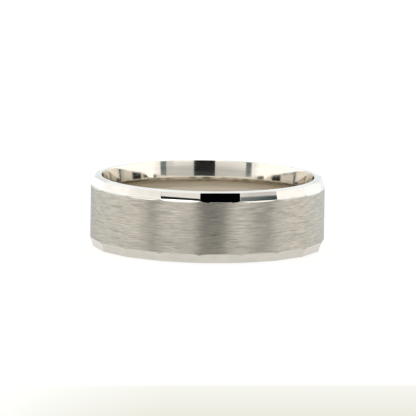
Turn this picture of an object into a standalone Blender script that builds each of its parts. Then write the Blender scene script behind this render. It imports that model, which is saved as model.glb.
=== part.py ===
"""Wedding band: a flat satin ring with bright-cut facets along both edges.

The ring is one piece of white gold. Its axis is Z and it stands on its lower rim at z = 0.
Outside it is a plain cylinder. Both edges are cut back by a row of facets, each a shallow
hollow that is straight along the edge and curls out to the satin wall through a small fillet.
A rim slopes up from the facets to a narrow flat round the mouth of the bore. The bore is
straight in the middle and flares a little at each mouth, for comfort.
"""

import math

import bmesh
import bpy

# Driving dimensions, in metres and radians
OUTER_DIAMETER = 0.0228
WIDTH = 0.0070
FINGER_DIAMETER = 0.0203  # between US ring sizes 10 1/2 and 10 3/4
MOUTH_DIAMETER = 0.02074  # the flared bore where its rounded lip begins
FLARE_LENGTH = 0.00160  # from the bore's straight middle to the lip
FLARE_START_SLOPE = math.radians(6.6)
LIP_RADIUS = 0.00004
RIM_FLAT = 0.00018  # width of the flat that the ring stands on
RIM_RISE = 0.00009  # from the facets' top edge up to that flat

FACETS = 18
FACET_TURN = math.radians(-3.67)  # direction of one facet's middle, from +X
FACET_TOP_SLOPE = math.radians(12.4)  # from the axis, at the rim
FACET_FOOT_SLOPE = math.radians(20)  # where the hollow ends and the fillet begins
FILLET_END_SLOPE = math.radians(75)  # where the fillet meets the satin wall
HOLLOW_HEIGHT = 0.00074
FILLET_HEIGHT = 0.00017

# Mesh steps
STEPS_PER_FACET = 6
HOLLOW_STEPS = 2
FILLET_STEPS = 2
LIP_STEPS = 2
FLARE_STEPS = 3

# Worked out from the above
OUTER_RADIUS = OUTER_DIAMETER / 2
HALF_WIDTH = WIDTH / 2
FACET_TOP = HALF_WIDTH - RIM_RISE  # heights above mid-width
HOLLOW_FOOT = FACET_TOP - HOLLOW_HEIGHT
HOLLOW_ARC = HOLLOW_HEIGHT / (math.sin(FACET_FOOT_SLOPE) - math.sin(FACET_TOP_SLOPE))
FILLET_ARC = FILLET_HEIGHT / (math.sin(FILLET_END_SLOPE) - math.sin(FACET_FOOT_SLOPE))
FILLET_DEPTH = FILLET_ARC * (math.cos(FACET_FOOT_SLOPE) - math.cos(FILLET_END_SLOPE))
MOUTH_RADIUS = MOUTH_DIAMETER / 2
LIP_HEIGHT = HALF_WIDTH - LIP_RADIUS
FLARE_MEAN_SLOPE = math.atan((MOUTH_RADIUS - FINGER_DIAMETER / 2) / FLARE_LENGTH)
FLARE_END_SLOPE = 2 * FLARE_MEAN_SLOPE - FLARE_START_SLOPE
FLARE_ARC = FLARE_LENGTH / (math.sin(FLARE_END_SLOPE) - math.sin(FLARE_START_SLOPE))


def facet_section(offset):
    """Radius and height above mid-width of one facet, from the satin wall up to the rim.

    offset is the angle from the facet's middle. A facet is straight along the edge of the
    ring, so away from its middle its radius grows as 1 / cos(offset).
    """
    wall = OUTER_RADIUS * math.cos(offset)
    fillet_foot = OUTER_RADIUS - FILLET_DEPTH
    end_slope = math.acos(math.cos(FACET_FOOT_SLOPE) - (wall - fillet_foot) / FILLET_ARC)
    points = []
    for step in range(FILLET_STEPS):
        slope = end_slope + (FACET_FOOT_SLOPE - end_slope) * step / FILLET_STEPS
        depth = FILLET_ARC * (math.cos(FACET_FOOT_SLOPE) - math.cos(slope))
        drop = FILLET_ARC * (math.sin(slope) - math.sin(FACET_FOOT_SLOPE))
        points.append((fillet_foot + depth, HOLLOW_FOOT - drop))
    for step in range(HOLLOW_STEPS + 1):
        slope = FACET_FOOT_SLOPE + (FACET_TOP_SLOPE - FACET_FOOT_SLOPE) * step / HOLLOW_STEPS
        depth = HOLLOW_ARC * (math.cos(slope) - math.cos(FACET_FOOT_SLOPE))
        rise = HOLLOW_ARC * (math.sin(FACET_FOOT_SLOPE) - math.sin(slope))
        points.append((fillet_foot - depth, HOLLOW_FOOT + rise))
    return [(radius / math.cos(offset), height) for radius, height in points]


def bore_section():
    """Radius and height above mid-width, from the rim's flat over the lip to mid-width."""
    points = [(MOUTH_RADIUS + LIP_RADIUS + RIM_FLAT, HALF_WIDTH)]
    for step in range(LIP_STEPS):
        turn = (math.pi / 2 - FLARE_END_SLOPE) * step / LIP_STEPS
        radius = MOUTH_RADIUS + LIP_RADIUS * (1 - math.sin(turn))
        points.append((radius, LIP_HEIGHT + LIP_RADIUS * math.cos(turn)))
    for step in range(FLARE_STEPS + 1):
        slope = FLARE_END_SLOPE + (FLARE_START_SLOPE - FLARE_END_SLOPE) * step / FLARE_STEPS
        fall = FLARE_ARC * (math.sin(FLARE_END_SLOPE) - math.sin(slope))
        inset = FLARE_ARC * (math.cos(slope) - math.cos(FLARE_END_SLOPE))
        points.append((MOUTH_RADIUS - inset, LIP_HEIGHT - fall))
    return points + [(FINGER_DIAMETER / 2, 0)]


def section(offset):
    """The closed outline of the ring's wall: up the outside, down the bore, back up inside."""
    upper = facet_section(offset) + bore_section()
    lower = [(radius, -height) for radius, height in reversed(upper[:-1])]
    return upper + lower


def add_sections(mesh):
    """The section's points at each step round the axis, as one row of vertices per step."""
    pitch = 2 * math.pi / FACETS
    rows = []
    for step in range(FACETS * STEPS_PER_FACET):
        offset = pitch * ((step % STEPS_PER_FACET) / STEPS_PER_FACET - 0.5)
        angle = FACET_TURN + pitch * (step / STEPS_PER_FACET - 0.5)
        rows.append(
            [
                mesh.verts.new((r * math.cos(angle), r * math.sin(angle), z + HALF_WIDTH))
                for r, z in section(offset)
            ]
        )
    return rows


def white_gold():
    material = bpy.data.materials.new("white_gold")
    material.use_nodes = True
    shader = material.node_tree.nodes["Principled BSDF"]
    shader.inputs["Base Color"].default_value = (0.72, 0.69, 0.64, 1)
    shader.inputs["Metallic"].default_value = 1.0
    shader.inputs["Roughness"].default_value = 0.3
    return material


def make_band():
    mesh = bmesh.new()
    rows = add_sections(mesh)
    for row, following in zip(rows, rows[1:] + rows[:1]):
        for i in range(len(row)):
            mesh.faces.new((row[i - 1], following[i - 1], following[i], row[i]))
    bmesh.ops.recalc_face_normals(mesh, faces=mesh.faces)
    data = bpy.data.meshes.new("band")
    mesh.to_mesh(data)
    mesh.free()
    data.materials.append(white_gold())
    data.shade_smooth()
    data.set_sharp_from_angle(angle=math.radians(12))
    band = bpy.data.objects.new("band", data)
    bpy.context.scene.collection.objects.link(band)
    return band


for old in list(bpy.data.objects):
    bpy.data.objects.remove(old, do_unlink=True)
make_band()
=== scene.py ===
import math

import bpy
from mathutils import Euler, Matrix, Vector


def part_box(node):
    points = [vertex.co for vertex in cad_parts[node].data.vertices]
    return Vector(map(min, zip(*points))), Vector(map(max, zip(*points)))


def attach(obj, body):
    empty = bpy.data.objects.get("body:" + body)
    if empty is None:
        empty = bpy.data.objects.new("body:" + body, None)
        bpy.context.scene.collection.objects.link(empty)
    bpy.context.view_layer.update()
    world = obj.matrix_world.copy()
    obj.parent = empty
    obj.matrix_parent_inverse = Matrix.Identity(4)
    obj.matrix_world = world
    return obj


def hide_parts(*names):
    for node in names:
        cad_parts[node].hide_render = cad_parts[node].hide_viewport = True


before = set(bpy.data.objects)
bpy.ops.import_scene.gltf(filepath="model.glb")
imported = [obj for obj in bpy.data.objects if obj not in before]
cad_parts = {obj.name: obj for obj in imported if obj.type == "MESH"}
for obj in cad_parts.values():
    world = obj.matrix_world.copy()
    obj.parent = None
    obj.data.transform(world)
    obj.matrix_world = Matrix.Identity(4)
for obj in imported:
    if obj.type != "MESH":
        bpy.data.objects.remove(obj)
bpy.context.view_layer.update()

# The ring, in metres and radians, from the frame and a few driving dimensions
band_low, band_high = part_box("band")
OUTER_RADIUS = (band_high.x - band_low.x) / 2
HALF_WIDTH = (band_high.z - band_low.z) / 2
CENTRE = (band_low + band_high) / 2
FINGER_RADIUS = 0.01015
MOUTH_RADIUS = 0.01037
FLARE_LENGTH = 0.00160  # from the bore's straight middle to the lip
FLARE_START_SLOPE = math.radians(6.6)
LIP_RADIUS = 0.00004
RIM_FLAT = 0.00018  # width of the flat that the ring stands on
RIM_RISE = 0.00009  # from the facets' top edge up to that flat

FACETS = 18
PITCH = 2 * math.pi / FACETS
FACET_TURN = math.radians(-3.67)  # direction of one facet's middle, from +X
FACET_TOP_SLOPE = math.radians(12.4)  # from the axis, at the rim
FACET_FOOT_SLOPE = math.radians(20)  # where the hollow ends and the fillet begins
FILLET_END_SLOPE = math.radians(75)  # where the fillet meets the satin wall
HOLLOW_HEIGHT = 0.00074
FILLET_HEIGHT = 0.00017
EDGE_BREAK = 0.000015  # worn-off width along the crisp edges
CORNER_RADIUS = 0.00012  # between one facet and the next
SHARP_ANGLE = math.radians(8)  # a steeper turn than this stays a crisp edge

# Mesh steps
STEPS_PER_FACET = 20
CORNER_STEPS = 4
HOLLOW_STEPS = 12
FILLET_STEPS = 8
RIM_STEPS = 3
LIP_STEPS = 6
FLARE_STEPS = 12

# Worked out from the above
FACET_TOP = HALF_WIDTH - RIM_RISE  # heights above mid-width
HOLLOW_FOOT = FACET_TOP - HOLLOW_HEIGHT
HOLLOW_ARC = HOLLOW_HEIGHT / (math.sin(FACET_FOOT_SLOPE) - math.sin(FACET_TOP_SLOPE))
FILLET_ARC = FILLET_HEIGHT / (math.sin(FILLET_END_SLOPE) - math.sin(FACET_FOOT_SLOPE))
FILLET_DEPTH = FILLET_ARC * (math.cos(FACET_FOOT_SLOPE) - math.cos(FILLET_END_SLOPE))
FLARE_MEAN_SLOPE = math.atan((MOUTH_RADIUS - FINGER_RADIUS) / FLARE_LENGTH)
FLARE_END_SLOPE = 2 * FLARE_MEAN_SLOPE - FLARE_START_SLOPE
FLARE_ARC = FLARE_LENGTH / (math.sin(FLARE_END_SLOPE) - math.sin(FLARE_START_SLOPE))

SATIN, FACET, RIM, BORE = range(4)  # material slots of the mesh


# Mesh

def facet_radius(apothem, offset):
    """Distance from the axis to a facet's surface, offset away from the facet's middle.

    The facet is straight, and a small round joins it to the next one.
    """
    corner = PITCH / 2 - abs(offset)
    reach = CORNER_RADIUS * math.tan(PITCH / 2) * math.cos(PITCH / 2) / apothem
    if corner >= reach:
        return apothem / math.cos(offset)
    centre = (apothem - CORNER_RADIUS) / math.cos(PITCH / 2)
    side = centre * math.sin(corner)
    return centre * math.cos(corner) + math.sqrt(CORNER_RADIUS**2 - side**2)


def facet_section(offset):
    """(radius, height, slot) from the satin wall's edge up a facet and over the rim."""
    foot = OUTER_RADIUS - FILLET_DEPTH
    per_apothem = facet_radius(foot, offset) / foot
    wall = (OUTER_RADIUS - EDGE_BREAK) / per_apothem
    end_slope = math.acos(math.cos(FACET_FOOT_SLOPE) - (wall - foot) / FILLET_ARC)
    fillet = []
    for step in range(FILLET_STEPS):
        slope = end_slope + (FACET_FOOT_SLOPE - end_slope) * step / FILLET_STEPS
        depth = FILLET_ARC * (math.cos(FACET_FOOT_SLOPE) - math.cos(slope))
        drop = FILLET_ARC * (math.sin(slope) - math.sin(FACET_FOOT_SLOPE))
        fillet.append((foot + depth, HOLLOW_FOOT - drop))
    hollow = []
    for step in range(HOLLOW_STEPS + 1):
        slope = FACET_FOOT_SLOPE + (FACET_TOP_SLOPE - FACET_FOOT_SLOPE) * step / HOLLOW_STEPS
        depth = HOLLOW_ARC * (math.cos(slope) - math.cos(FACET_FOOT_SLOPE))
        rise = HOLLOW_ARC * (math.sin(FACET_FOOT_SLOPE) - math.sin(slope))
        hollow.append((foot - depth, HOLLOW_FOOT + rise))
    rim_apothem, _ = hollow[-1]
    hollow[-1] = (rim_apothem, FACET_TOP - EDGE_BREAK)
    points = [(facet_radius(a, offset), z, FACET) for a, z in fillet + hollow]
    wall_edge = (OUTER_RADIUS, fillet[0][1] - EDGE_BREAK, FACET)
    outer = facet_radius(rim_apothem - EDGE_BREAK, offset)
    return [wall_edge] + points + rim_section(outer)


def rim_section(outer):
    """(radius, height, slot) up the rim's slope to its flat, which ends at the bore's lip."""
    inner = MOUTH_RADIUS + LIP_RADIUS + RIM_FLAT
    return [
        (outer + (inner - outer) * step / RIM_STEPS, FACET_TOP + RIM_RISE * step / RIM_STEPS, RIM)
        for step in range(RIM_STEPS + 1)
    ]


def bore_section():
    """(radius, height, slot) from the rim over the lip and down to mid-width."""
    lip_height = HALF_WIDTH - LIP_RADIUS
    points = []
    for step in range(LIP_STEPS):
        turn = (math.pi / 2 - FLARE_END_SLOPE) * step / LIP_STEPS
        radius = MOUTH_RADIUS + LIP_RADIUS * (1 - math.sin(turn))
        points.append((radius, lip_height + LIP_RADIUS * math.cos(turn), BORE))
    for step in range(FLARE_STEPS + 1):
        slope = FLARE_END_SLOPE + (FLARE_START_SLOPE - FLARE_END_SLOPE) * step / FLARE_STEPS
        fall = FLARE_ARC * (math.sin(FLARE_END_SLOPE) - math.sin(slope))
        inset = FLARE_ARC * (math.cos(slope) - math.cos(FLARE_END_SLOPE))
        points.append((MOUTH_RADIUS - inset, lip_height - fall, BORE))
    return points + [(FINGER_RADIUS, 0, BORE)]


def section(offset):
    """The wall's closed outline. Each point's slot is that of the strip that follows it.

    The lower half mirrors the upper one, so a strip there has the slot of the point before
    its own in the upper half. The last strip is the satin wall.
    """
    upper = facet_section(offset) + bore_section()
    heights = [(radius, -height) for radius, height, _ in upper[-2::-1]]
    slots = [slot for _, _, slot in upper[-3::-1]] + [SATIN]
    lower = [(radius, height, slot) for (radius, height), slot in zip(heights, slots)]
    return upper + lower


def facet_offsets():
    """Steps across one facet, closer together on the rounds that join it to its neighbours."""
    reach = CORNER_RADIUS * math.tan(PITCH / 2) / OUTER_RADIUS
    half = PITCH / 2
    corner = [-half + reach * step / CORNER_STEPS for step in range(CORNER_STEPS)]
    middle = [
        (half - reach) * (2 * step / STEPS_PER_FACET - 1) for step in range(STEPS_PER_FACET + 1)
    ]
    return corner + middle + [-offset for offset in reversed(corner[1:])]


def make_band():
    points, slots, rows = [], [], []
    for facet in range(FACETS):
        for offset in facet_offsets():
            angle = FACET_TURN + facet * PITCH + offset
            outline = section(offset)
            rows.append(range(len(points), len(points) + len(outline)))
            points += [
                (r * math.cos(angle), r * math.sin(angle), CENTRE.z + z) for r, z, _ in outline
            ]
            slots = [slot for _, _, slot in outline]
    faces, face_slots = [], []
    for row, following in zip(rows, rows[1:] + rows[:1]):
        for i, slot in enumerate(slots):
            after = (i + 1) % len(slots)
            faces.append((row[i], following[i], following[after], row[after]))
            face_slots.append(slot)
    data = bpy.data.meshes.new("band_finished")
    data.from_pydata(points, [], faces)
    data.polygons.foreach_set("material_index", face_slots)
    data.shade_smooth()
    data.set_sharp_from_angle(angle=SHARP_ANGLE)
    band = bpy.data.objects.new("band_finished", data)
    bpy.context.scene.collection.objects.link(band)
    return band


# Shader nodes

class Graph:
    """Adds nodes to a shader tree. An input is a number, a colour or another node's output."""

    def __init__(self, tree):
        self.tree = tree

    def add(self, kind, inputs=None, **settings):
        node = self.tree.nodes.new(kind)
        for name, value in settings.items():
            setattr(node, name, value)
        for name, value in (inputs or {}).items():
            self.feed(node.inputs[name], value)
        return node

    def feed(self, socket, value):
        if isinstance(value, bpy.types.NodeSocket):
            self.tree.links.new(value, socket)
        else:
            socket.default_value = value

    def math(self, operation, *values):
        node = self.add("ShaderNodeMath", operation=operation)
        for socket, value in zip(node.inputs, values):
            self.feed(socket, value)
        return node.outputs[0]

    def ramp(self, value, low, high, start=0.0, end=1.0, smooth=True):
        """Goes from start to end as value goes from low to high, and stays there outside."""
        kind = "SMOOTHSTEP" if smooth else "LINEAR"
        node = self.add("ShaderNodeMapRange", interpolation_type=kind, clamp=True)
        for name, given in (("Value", value), ("From Min", low), ("From Max", high)):
            self.feed(node.inputs[name], given)
        self.feed(node.inputs["To Min"], start)
        self.feed(node.inputs["To Max"], end)
        return node.outputs["Result"]

    def window(self, value, low, high, soft):
        """1 from low to high and 0 outside, with soft ends."""
        up = self.ramp(value, low - soft, low + soft)
        down = self.ramp(value, high - soft, high + soft, 1.0, 0.0)
        return self.math("MULTIPLY", up, down)

    def mix(self, factor, first, second):
        node = self.add("ShaderNodeMix", data_type="FLOAT")
        for name, value in (("Factor", factor), ("A", first), ("B", second)):
            self.feed(node.inputs[name], value)
        return node.outputs[0]

    def mix_colour(self, factor, first, second):
        node = self.add("ShaderNodeMix", data_type="RGBA")
        self.feed(node.inputs[0], factor)
        self.feed(node.inputs[6], first)
        self.feed(node.inputs[7], second)
        return node.outputs[2]


# Materials. Streaks are in features per metre, along the wall and across it.

SATIN_DARK = (0.35, 0.325, 0.281, 1)
SATIN_LIGHT = (0.62, 0.575, 0.498, 1)
CUT_DARK = (0.26, 0.235, 0.20, 1)
FINE_SCRATCHES = (700, 11000)
BROAD_SCRATCHES = (300, 3000)
DEEP_CUTS = (520, 7000)
FACET_DARK = (0.60, 0.568, 0.517, 1)
FACET_LIGHT = (0.64, 0.605, 0.55, 1)
FACET_RIPPLE = (700, 1800)
RIM_COLOUR = (0.63, 0.60, 0.55)
RIM_LINES = (120, 9000)
BORE_COLOUR = (0.72, 0.675, 0.60)
BORE_LINES = (120, 3500)
LOW_POLISH = 0.09  # roughness
HIGH_POLISH = 0.05


def new_material(name):
    material = bpy.data.materials.new(name)
    material.use_nodes = True
    return material, Graph(material.node_tree), material.node_tree.nodes["Principled BSDF"]


def streak_noise(graph, streaks, detail, offset=0.0, roughness=0.5):
    """Noise drawn out round the ring."""
    along, across = streaks
    place = graph.add("ShaderNodeTexCoord").outputs["Object"]
    stretch = graph.add(
        "ShaderNodeMapping",
        {"Vector": place, "Scale": (along, along, across), "Location": (offset, offset, offset)},
    )
    noise = graph.add(
        "ShaderNodeTexNoise",
        {
            "Vector": stretch.outputs[0],
            "Scale": 1.0,
            "Detail": detail,
            "Roughness": roughness,
        },
    )
    return noise.outputs["Fac"]


def satin_white_gold():
    """Brushed round the ring: fine and broad scratches and a few deeper cuts."""
    material, graph, shader = new_material("satin_white_gold")
    fine = streak_noise(graph, FINE_SCRATCHES, 2.0, roughness=0.7)
    broad = streak_noise(graph, BROAD_SCRATCHES, 2.0, offset=3.0)
    cut = streak_noise(graph, DEEP_CUTS, 1.0, offset=9.0)
    cut_depth = graph.ramp(cut, 0.62, 0.70)
    height = graph.math("ADD", fine, graph.math("MULTIPLY", broad, 0.5))
    height = graph.math("SUBTRACT", height, graph.math("MULTIPLY", cut_depth, 0.9))
    bump = graph.add(
        "ShaderNodeBump", {"Height": height, "Strength": 1.0, "Distance": 0.000016}
    )
    tone = graph.math("ADD", fine, graph.math("MULTIPLY", broad, 0.2))
    tone = graph.ramp(tone, 0.40, 0.80, smooth=False)
    colour = graph.mix_colour(tone, SATIN_DARK, SATIN_LIGHT)
    colour = graph.mix_colour(graph.math("MULTIPLY", cut_depth, 0.45), colour, CUT_DARK)
    graph.feed(shader.inputs["Base Color"], colour)
    graph.feed(shader.inputs["Roughness"], graph.ramp(fine, 0.3, 0.7, 0.36, 0.44))
    graph.feed(shader.inputs["Normal"], bump.outputs[0])
    tangent = graph.add("ShaderNodeTangent", direction_type="RADIAL", axis="Z")
    graph.feed(shader.inputs["Tangent"], tangent.outputs[0])
    shader.inputs["Metallic"].default_value = 1.0
    shader.inputs["Specular Tint"].default_value = (0.8, 0.8, 0.8, 1)
    shader.inputs["Anisotropic"].default_value = 1.0
    shader.inputs["Anisotropic Rotation"].default_value = 0.25
    return material


def bright_cut_white_gold():
    """Cut with a diamond tool, which leaves a mirror with a very faint ripple."""
    material, graph, shader = new_material("bright_cut_white_gold")
    ripple = streak_noise(graph, FACET_RIPPLE, 2.0)
    bump = graph.add(
        "ShaderNodeBump", {"Height": ripple, "Strength": 0.06, "Distance": 0.00001}
    )
    colour = graph.mix_colour(graph.ramp(ripple, 0.3, 0.7), FACET_DARK, FACET_LIGHT)
    graph.feed(shader.inputs["Base Color"], colour)
    graph.feed(shader.inputs["Roughness"], graph.ramp(ripple, 0.3, 0.7, 0.02, 0.04))
    graph.feed(shader.inputs["Normal"], bump.outputs[0])
    shader.inputs["Metallic"].default_value = 1.0
    return material


def polished_white_gold(name, colour, lines):
    """Buffed round the ring: faint lines run along it."""
    material, graph, shader = new_material(name)
    buffing = streak_noise(graph, lines, 3.0, offset=5.0)
    bump = graph.add(
        "ShaderNodeBump", {"Height": buffing, "Strength": 0.10, "Distance": 0.00001}
    )
    darker = tuple(0.9 * part for part in colour) + (1,)
    tint = graph.mix_colour(graph.ramp(buffing, 0.3, 0.7), darker, tuple(colour) + (1,))
    graph.feed(shader.inputs["Base Color"], tint)
    roughness = graph.ramp(buffing, 0.3, 0.7, HIGH_POLISH, LOW_POLISH)
    graph.feed(shader.inputs["Roughness"], roughness)
    graph.feed(shader.inputs["Normal"], bump.outputs[0])
    shader.inputs["Metallic"].default_value = 0.97
    return material


# Studio

FLOOR_RADIUS = 0.30
SHEET_EDGE = 0.0815  # where the painted shade along the sheet's front edge starts, in front; the sheet itself stays flat
SHEET_BEND = 0.0844
SHEET_END = 0.0992
SHEET_SKEW = 0.10  # the edge comes nearer the ring towards the right
SHEET_FADE_LEFT = -0.0195  # the shade of the edge fades out from here to the left
SHEET_FADE_RIGHT = -0.0035
SHEET_FADE_LEAST = 0.08
SHEET_WHITE = (1.0, 1.0, 0.985, 1)
# Painted shade on the sheet's front edge, in both its glow and its colour
SHEET_BEND_SHADE = (0.88, 0.88, 0.82, 1)
SHEET_END_SHADE = (0.80, 0.80, 0.72, 1)
SHEET_ALBEDO = 0.20
FLOOR_GLOW = 0.85  # the sheet glows, standing in for light from below, and the glow carries the painted edge shade
ROOM_LIGHT = 1.0

# The tent that the metal reflects: heights are above the sheet
TENT_LEFT = -0.0397
TENT_RIGHT = 0.0373
TENT_FRONT = -0.0298
TENT_BACK = 0.0575
TENT_HEIGHT = 0.0575
TENT_TURN = math.radians(3.6)
POST_WIDTH = 0.0043
LEDGE_BOTTOM = 0.0171
LEDGE_TOP = 0.0196
RAIL_BOTTOM = 0.0192
RAIL_TOP = 0.0335
SLIT_LEFT = -0.0068
SLIT_RIGHT = 0.0078
SLIT_BACK = -0.002  # where the slit ends on the ceiling
SLIT_LEAN = 0.0035  # how far its right side moves out towards the top
LEDGE_LEFT = -0.036
LEDGE_RIGHT = -0.010
RAIL_SLANT = 0.0016  # how much lower the rail is at its left end
LEDGE_SOFT = 0.0002
SLIT_SOFT = 0.0004
EDGE_SOFT = 0.001
WALL_SOFT = 0.0005  # over which one wall's light gives way to the next

# From where to where one brightness of the cloth fades into the next
FRONT_FADE = (0.0110, 0.0150)  # up the front wall
FRONT_RIGHT_FADE = (0.023, 0.027)  # along it
SIDE_FADE = (-0.022, -0.014)  # along the side walls
SIDE_TOP_FADE = (0.028, 0.034)
BACK_FADE = (0.022, 0.030)
BACK_TINT_FADE = (0.0, 0.02)
RAIL_START = (0.021, 0.025)
RAIL_SLANT_FADE = (0.025, 0.034)
RAIL_LIGHT_FADE = (0.026, 0.033)
POST_FADE = (0.018, 0.030)
SLIT_FOOT_FADE = (0.0080, 0.0095)
SLIT_MIDDLE_FADE = (0.0105, 0.0120)
SLIT_LEAN_FADE = (0.030, 0.060)
SHADE_FADE = (0.0, 0.5)  # brightness, from dark to lit

# Brightness of the cloth and of what is dark in it
FRONT_FOOT_LIGHT = 0.72
FRONT_LIGHT = 1.27
FRONT_RIGHT_LIGHT = 0.93
FRONT_TOP_LIGHT = 3.3
SIDE_FRONT_LIGHT = 1.32
SIDE_BACK_LIGHT = 1.62
SIDE_TOP_LIGHT = 1.1
BACK_FOOT_LIGHT = 1.10
BACK_LIGHT = 1.45
CEILING_LIGHT = 1.8
LEDGE_LIGHT = 0.03
RAIL_LEFT_LIGHT = 0.30
RAIL_RIGHT_LIGHT = 0.10
POST_FOOT_LIGHT = 0.24
POST_LIGHT = 0.10
SLIT_FOOT_LIGHT = 0.12
SLIT_MIDDLE_LIGHT = 0.016
SLIT_LIGHT = 0.002
WHITE = (1, 1, 1, 1)
BACK_TINT = (0.94, 1.0, 1.02, 1)
SHADE_TINT = (0.62, 1.0, 1.05, 1)


def white_floor():
    """A matt white sheet that glows, with painted shade darkening its front edge."""
    material, graph, shader = new_material("floor_white")
    place = graph.add("ShaderNodeTexCoord").outputs["Object"]
    x, y, _ = graph.add("ShaderNodeSeparateXYZ", {"Vector": place}).outputs
    forward = graph.math("SUBTRACT", graph.math("MULTIPLY", x, SHEET_SKEW), y)
    painted_shade_reach = graph.ramp(
        x, SHEET_FADE_LEFT, SHEET_FADE_RIGHT, SHEET_FADE_LEAST, 1.0, smooth=False
    )
    painted_bend_shade = graph.math("MULTIPLY", graph.ramp(forward, SHEET_EDGE, SHEET_BEND), painted_shade_reach)
    # painted shade, deepening towards the sheet's front end
    slope = graph.ramp(forward, SHEET_BEND, SHEET_END, smooth=False)
    slope = graph.math("MULTIPLY", slope, painted_shade_reach)
    glow_with_painted_shade = graph.mix_colour(painted_bend_shade, SHEET_WHITE, SHEET_BEND_SHADE)
    glow_with_painted_shade = graph.mix_colour(slope, glow_with_painted_shade, SHEET_END_SHADE)
    dimmed = graph.add(
        "ShaderNodeVectorMath", {0: glow_with_painted_shade, 1: (SHEET_ALBEDO,) * 3}, operation="MULTIPLY"
    )
    graph.feed(shader.inputs["Base Color"], dimmed.outputs[0])
    graph.feed(shader.inputs["Emission Color"], glow_with_painted_shade)
    shader.inputs["Emission Strength"].default_value = FLOOR_GLOW
    shader.inputs["Roughness"].default_value = 1.0
    shader.inputs["Specular IOR Level"].default_value = 0.0
    return material


def make_floor():
    bpy.ops.mesh.primitive_circle_add(vertices=128, radius=FLOOR_RADIUS, fill_type="NGON")
    floor = bpy.context.object
    floor.name = "floor"
    floor.location = (0, 0, band_low.z)
    floor.data.materials.append(white_floor())


def make_room_light():
    """Even white light on the floor, and a white background. Metal sees the tent instead."""
    world = bpy.data.worlds.new("room_light")
    bpy.context.scene.world = world
    world.use_nodes = True
    background = world.node_tree.nodes["Background"]
    background.inputs["Color"].default_value = WHITE
    background.inputs["Strength"].default_value = ROOM_LIGHT
    world.cycles_visibility.glossy = False


def cloth_light(graph, x, y, z):
    """Brightness of the lit cloth: front wall, side walls, back wall, then the upper part."""
    front = graph.ramp(z, *FRONT_FADE, FRONT_FOOT_LIGHT, FRONT_LIGHT)
    right = graph.ramp(z, *FRONT_FADE, FRONT_FOOT_LIGHT, FRONT_RIGHT_LIGHT)
    front = graph.mix(graph.ramp(x, *FRONT_RIGHT_FADE), front, right)
    front = graph.mix(graph.ramp(z, LEDGE_TOP, LEDGE_TOP + EDGE_SOFT), front, FRONT_TOP_LIGHT)
    side = graph.ramp(y, *SIDE_FADE, SIDE_FRONT_LIGHT, SIDE_BACK_LIGHT)
    side = graph.mix(graph.ramp(z, *SIDE_TOP_FADE), side, SIDE_TOP_LIGHT)
    back = graph.ramp(z, *BACK_FADE, BACK_FOOT_LIGHT, BACK_LIGHT)
    light = graph.mix(graph.ramp(y, TENT_FRONT, TENT_FRONT + WALL_SOFT), front, side)
    light = graph.mix(graph.ramp(y, TENT_BACK - WALL_SOFT, TENT_BACK), light, back)
    return graph.mix(graph.ramp(z, TENT_HEIGHT - WALL_SOFT, TENT_HEIGHT), light, CEILING_LIGHT)


def tent_ledge_and_rail(graph, light, x, z, near):
    """A thin dark ledge across the left of the front wall, and a dark rail on the right."""
    ledge = graph.math(
        "MULTIPLY",
        graph.window(z, LEDGE_BOTTOM, LEDGE_TOP, LEDGE_SOFT),
        graph.window(x, LEDGE_LEFT, LEDGE_RIGHT, EDGE_SOFT),
    )
    slant = graph.ramp(x, *RAIL_SLANT_FADE, RAIL_SLANT, 0.0, smooth=False)
    rail_height = graph.math("ADD", z, slant)
    rail = graph.math(
        "MULTIPLY",
        graph.window(rail_height, RAIL_BOTTOM, RAIL_TOP, EDGE_SOFT),
        graph.ramp(x, *RAIL_START),
    )
    light = graph.mix(graph.math("MULTIPLY", ledge, near), light, LEDGE_LIGHT)
    rail_light = graph.ramp(x, *RAIL_LIGHT_FADE, RAIL_LEFT_LIGHT, RAIL_RIGHT_LIGHT)
    return graph.mix(graph.math("MULTIPLY", rail, near), light, rail_light)


def tent_posts(graph, light, x, z, near):
    """Dark posts at the two front corners."""
    left_edge = TENT_LEFT + POST_WIDTH
    right_edge = TENT_RIGHT - POST_WIDTH
    left = graph.ramp(x, left_edge - EDGE_SOFT, left_edge, 1.0, 0.0)
    right = graph.ramp(x, right_edge, right_edge + EDGE_SOFT)
    post = graph.math("MULTIPLY", graph.math("MAXIMUM", left, right), near)
    return graph.mix(post, light, graph.ramp(z, *POST_FADE, POST_FOOT_LIGHT, POST_LIGHT))


def tent_slit(graph, light, x, y, z):
    """A dark slit for the lens, up the front and over the top, wider towards the top."""
    reach = graph.math("SUBTRACT", x, graph.ramp(z, *SLIT_LEAN_FADE, 0.0, SLIT_LEAN))
    slit = graph.math(
        "MULTIPLY",
        graph.ramp(x, SLIT_LEFT - SLIT_SOFT, SLIT_LEFT + SLIT_SOFT),
        graph.ramp(reach, SLIT_RIGHT - SLIT_SOFT, SLIT_RIGHT + SLIT_SOFT, 1.0, 0.0),
    )
    end = graph.ramp(y, SLIT_BACK - EDGE_SOFT, SLIT_BACK + EDGE_SOFT, 1.0, 0.0)
    slit = graph.math("MULTIPLY", slit, end)
    slit_light = graph.ramp(z, *SLIT_FOOT_FADE, SLIT_FOOT_LIGHT, SLIT_MIDDLE_LIGHT)
    slit_light = graph.mix(graph.ramp(z, *SLIT_MIDDLE_FADE), slit_light, SLIT_LIGHT)
    return graph.mix(slit, light, slit_light)


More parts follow.
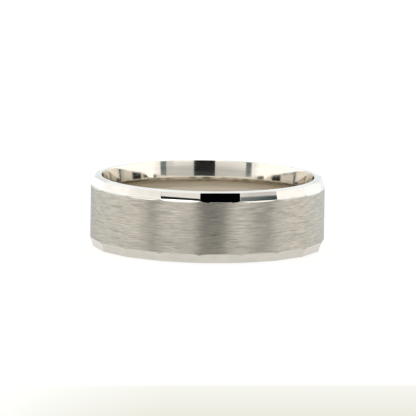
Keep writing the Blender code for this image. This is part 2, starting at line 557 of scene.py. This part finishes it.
def tent_material():
    """White cloth lit from behind, a little cooler at the back and where it is dark."""
    material, graph, shader = new_material("light_tent")
    graph.tree.nodes.remove(shader)
    place = graph.add("ShaderNodeTexCoord").outputs["Object"]
    x, y, z = graph.add("ShaderNodeSeparateXYZ", {"Vector": place}).outputs
    post_back = TENT_FRONT + POST_WIDTH
    near = graph.ramp(y, post_back, post_back + EDGE_SOFT, 1.0, 0.0)
    light = cloth_light(graph, x, y, z)
    light = tent_ledge_and_rail(graph, light, x, z, near)
    light = tent_posts(graph, light, x, z, near)
    light = tent_slit(graph, light, x, y, z)
    tint = graph.mix_colour(graph.ramp(y, *BACK_TINT_FADE), WHITE, BACK_TINT)
    shade = graph.ramp(light, *SHADE_FADE, 1.0, 0.0, smooth=False)
    tint = graph.mix_colour(shade, tint, SHADE_TINT)
    emission = graph.add("ShaderNodeEmission", {"Color": tint, "Strength": light})
    graph.feed(graph.tree.nodes["Material Output"].inputs["Surface"], emission.outputs[0])
    return material


def make_tent():
    """Four walls and a ceiling round the ring, seen only as reflections in the metal."""
    low = (TENT_LEFT, TENT_FRONT, 0)
    high = (TENT_RIGHT, TENT_BACK, TENT_HEIGHT)
    corners = [
        (x, y, z) for z in (low[2], high[2]) for y in (low[1], high[1]) for x in (low[0], high[0])
    ]
    faces = [(0, 4, 5, 1), (1, 5, 7, 3), (3, 7, 6, 2), (2, 6, 4, 0), (4, 6, 7, 5)]
    data = bpy.data.meshes.new("light_tent")
    data.from_pydata(corners, [], faces)
    data.materials.append(tent_material())
    tent = bpy.data.objects.new("light_tent", data)
    tent.location = (0, 0, band_low.z)
    tent.rotation_euler = (0, 0, TENT_TURN)
    bpy.context.scene.collection.objects.link(tent)
    tent.visible_camera = False
    tent.visible_diffuse = False
    tent.visible_shadow = False


CAMERA_DISTANCE = 1.2
CAMERA_ELEVATION = math.radians(8.55)
CAMERA_ROLL = math.radians(0.9)
VIEW_WIDTH = 0.04055  # at the ring's middle
SENSOR_WIDTH = 36  # in millimetres, like the focal length
AIM = CENTRE + Vector((0.00005, 0, 0.00031))


def make_camera():
    data = bpy.data.cameras.new("camera")
    data.sensor_width = SENSOR_WIDTH
    data.lens = SENSOR_WIDTH * CAMERA_DISTANCE / VIEW_WIDTH
    data.clip_start = 0.05
    data.clip_end = 5
    camera = bpy.data.objects.new("camera", data)
    bpy.context.scene.collection.objects.link(camera)
    back = Vector((0, -math.cos(CAMERA_ELEVATION), math.sin(CAMERA_ELEVATION)))
    upright = Euler((math.pi / 2 - CAMERA_ELEVATION, 0, 0)).to_matrix()
    camera.matrix_world = Matrix.Translation(AIM + back * CAMERA_DISTANCE) @ (
        upright @ Matrix.Rotation(CAMERA_ROLL, 3, "Z")
    ).to_4x4()
    bpy.context.scene.camera = camera


band = make_band()
for material in (
    satin_white_gold(),
    bright_cut_white_gold(),
    polished_white_gold("rim_white_gold", RIM_COLOUR, RIM_LINES),
    polished_white_gold("bore_white_gold", BORE_COLOUR, BORE_LINES),
):
    band.data.materials.append(material)
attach(band, "root")
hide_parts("band")

make_floor()
make_room_light()
make_tent()
make_camera()
bpy.context.scene.view_settings.view_transform = "Standard"
